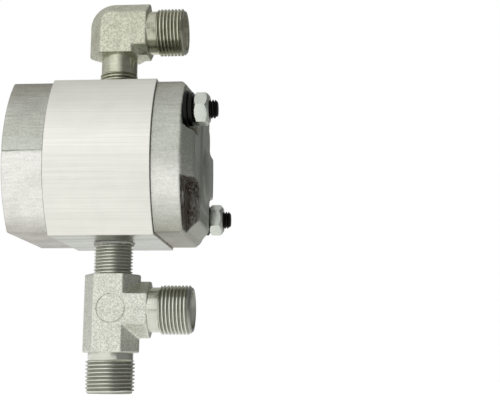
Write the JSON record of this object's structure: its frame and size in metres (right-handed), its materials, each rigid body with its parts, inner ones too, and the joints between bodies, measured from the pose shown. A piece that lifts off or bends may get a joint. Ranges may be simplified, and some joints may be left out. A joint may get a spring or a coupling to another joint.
{
  "type": "gear pump",
  "caption": "External gear oil pump with cast covers, pilot spigot and tang drive, an elbow on the upper port and a tee on the lower one, clamped by studs and nuts.",
  "frame": {"origin": "where the drive shaft's axis meets the front mounting face", "axes": "+X from the mounting face towards the rear cover along the shafts, +Z from the tee's port up to the elbow's port, -Y from the drive shaft towards the driven one"},
  "size_m": [0.1223, 0.0982, 0.223],
  "materials": {
    "cover_casting": "cast, blasted, oil-dulled",
    "housing_aluminium": "extruded, port faces milled",
    "block_aluminium": "machined",
    "gear_steel": "ground",
    "bearing_bronze": "plain bearing layer",
    "rubber": "moulded, matt",
    "spring_steel": "phosphated",
    "black_steel": "black oxide",
    "zinc_nut": "bright zinc plate",
    "pin_steel": "hardened and ground",
    "fitting_zinc": "forged, zinc plated, tarnished"
  },
  "bodies": {
    "housing": {"front_cover": "cover_casting", "rear_cover": "cover_casting", "gear_housing": "housing_aluminium", "front_bushing_block": "block_aluminium", "rear_bushing_block": "block_aluminium", "front_drive_bush": "bearing_bronze", "rear_drive_bush": "bearing_bronze", "front_driven_bush": "bearing_bronze", "rear_driven_bush": "bearing_bronze", "front_balance_seal": "rubber", "rear_balance_seal": "rubber", "front_body_seal": "rubber", "rear_body_seal": "rubber", "shaft_seal": "rubber", "pilot_o_ring": "rubber", "seal_retaining_ring": "spring_steel", "clamp_stud_near": "black_steel", "clamp_stud_far": "black_steel", "clamp_washer_near": "black_steel", "clamp_washer_far": "black_steel", "spring_washer_near": "black_steel", "spring_washer_far": "black_steel", "clamp_nut_near": "zinc_nut", "clamp_nut_far": "zinc_nut", "front_dowel_upper": "pin_steel", "front_dowel_lower": "pin_steel", "rear_dowel_upper": "pin_steel", "rear_dowel_lower": "pin_steel", "elbow_fitting": "fitting_zinc", "tee_fitting": "fitting_zinc"},
    "drive_shaft": {"drive_gear": "gear_steel"},
    "driven_shaft": {"driven_gear": "gear_steel"}
  },
  "joints": [
    {"name": "drive_spin", "type": "hinge", "parent": "housing", "child": "drive_shaft", "pos_m": [0, 0, 0], "axis": [1, 0, 0], "continuous": true},
    {"name": "driven_spin", "type": "hinge", "parent": "housing", "child": "driven_shaft", "pos_m": [0.0514, -0.035, 0], "axis": [1, 0, 0], "continuous": true}
  ],
  "couplings": [
    {"joint": "driven_spin", "follows": "drive_spin", "ratio": -1}
  ]
}
